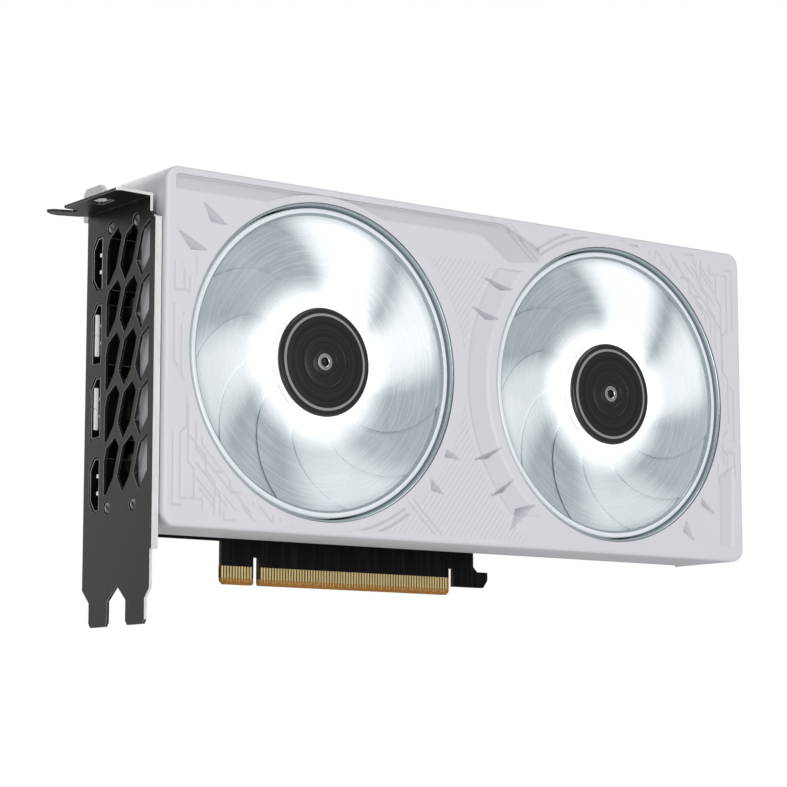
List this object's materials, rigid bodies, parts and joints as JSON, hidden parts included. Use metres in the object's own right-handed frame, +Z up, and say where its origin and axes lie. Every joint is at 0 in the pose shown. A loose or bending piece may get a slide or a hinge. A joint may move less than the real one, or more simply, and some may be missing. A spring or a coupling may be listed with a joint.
{
  "type": "graphics card",
  "caption": "Dual-slot graphics card with an edge connector, a slotted metal bracket with display ports, and two white-lit cooling fans in a pale shroud.",
  "frame": {"origin": "centre of the key notch at the bottom of the edge connector, on the middle plane of the circuit board", "axes": "+X along the card away from the bracket, +Y out of the back plate (the fans face -Y), +Z up, out of the socket"},
  "size_m": [0.2343, 0.0449, 0.1286],
  "materials": {
    "board": "black solder mask on glass-fibre board",
    "gold": "gold plated",
    "substrate": "matte",
    "silicon": "mirror polished",
    "chip_black": "moulded epoxy",
    "pad_grey": "soft pad",
    "choke": "pressed ferrite",
    "can": "satin can",
    "socket_black": "moulded",
    "copper": "nickel-free copper, milled",
    "black_metal": "black anodised",
    "nickel": "nickel plated",
    "fin": "rolled sheet",
    "screw": "black zinc",
    "white_metal": "white powder coat",
    "spring_steel": "spring steel",
    "bracket": "black nickel, brushed",
    "shroud_white": "moulded, fine grain",
    "frame_black": "moulded",
    "bronze": "sintered",
    "shaft_steel": "ground",
    "magnet": "ferrite",
    "stator": "laminated, wound",
    "led": "white board with lamps",
    "blade": "translucent pearl",
    "hub": "turned, dark",
    "bezel": "blue-grey satin",
    "port_shell": "tinned steel"
  },
  "bodies": {
    "card": {"backplate": "white_metal", "backplate_screws": "screw", "bearing_left": "bronze", "bearing_right": "bronze", "bracket_screws": "screw", "capacitors": "can", "cold_plate": "copper", "dp_lower_shell": "port_shell", "dp_lower_tongue": "socket_black", "dp_upper_shell": "port_shell", "dp_upper_tongue": "socket_black", "edge_contacts": "gold", "fan_bezel_left": "bezel", "fan_bezel_right": "bezel", "fan_frame_left": "frame_black", "fan_frame_right": "frame_black", "fan_headers": "socket_black", "fan_screws": "screw", "fan_shroud": "shroud_white", "gpu_die": "silicon", "gpu_package": "substrate", "hdmi_lower_shell": "port_shell", "hdmi_lower_tongue": "socket_black", "hdmi_upper_shell": "port_shell", "hdmi_upper_tongue": "socket_black", "heat_pipe_1": "nickel", "heat_pipe_2": "nickel", "heat_pipe_3": "nickel", "heat_pipe_4": "nickel", "heatsink_fins": "fin", "io_bracket": "bracket", "led_board_left": "led", "led_board_right": "led", "memory_chips": "chip_black", "memory_plate": "black_metal", "mounting_rails": "black_metal", "pcb": "board", "power_chokes": "choke", "power_connector": "socket_black", "power_pins": "gold", "power_stages": "chip_black", "retention_screws": "screw", "retention_spring": "spring_steel", "shroud_screws": "screw", "stator_left": "stator", "stator_right": "stator", "thermal_pads": "pad_grey"},
    "left_rotor": {"impeller_left": "blade", "hub_cap_left": "hub", "magnet_ring_left": "magnet", "shaft_left": "shaft_steel"},
    "right_rotor": {"impeller_right": "blade", "hub_cap_right": "hub", "magnet_ring_right": "magnet", "shaft_right": "shaft_steel"}
  },
  "joints": [
    {"name": "left_fan_spin", "type": "hinge", "parent": "card", "child": "left_rotor", "pos_m": [-0.0004, -0.03, 0.0625], "axis": [0, -1, 0], "continuous": true},
    {"name": "right_fan_spin", "type": "hinge", "parent": "card", "child": "right_rotor", "pos_m": [0.1088, -0.03, 0.0625], "axis": [0, -1, 0], "continuous": true}
  ]
}
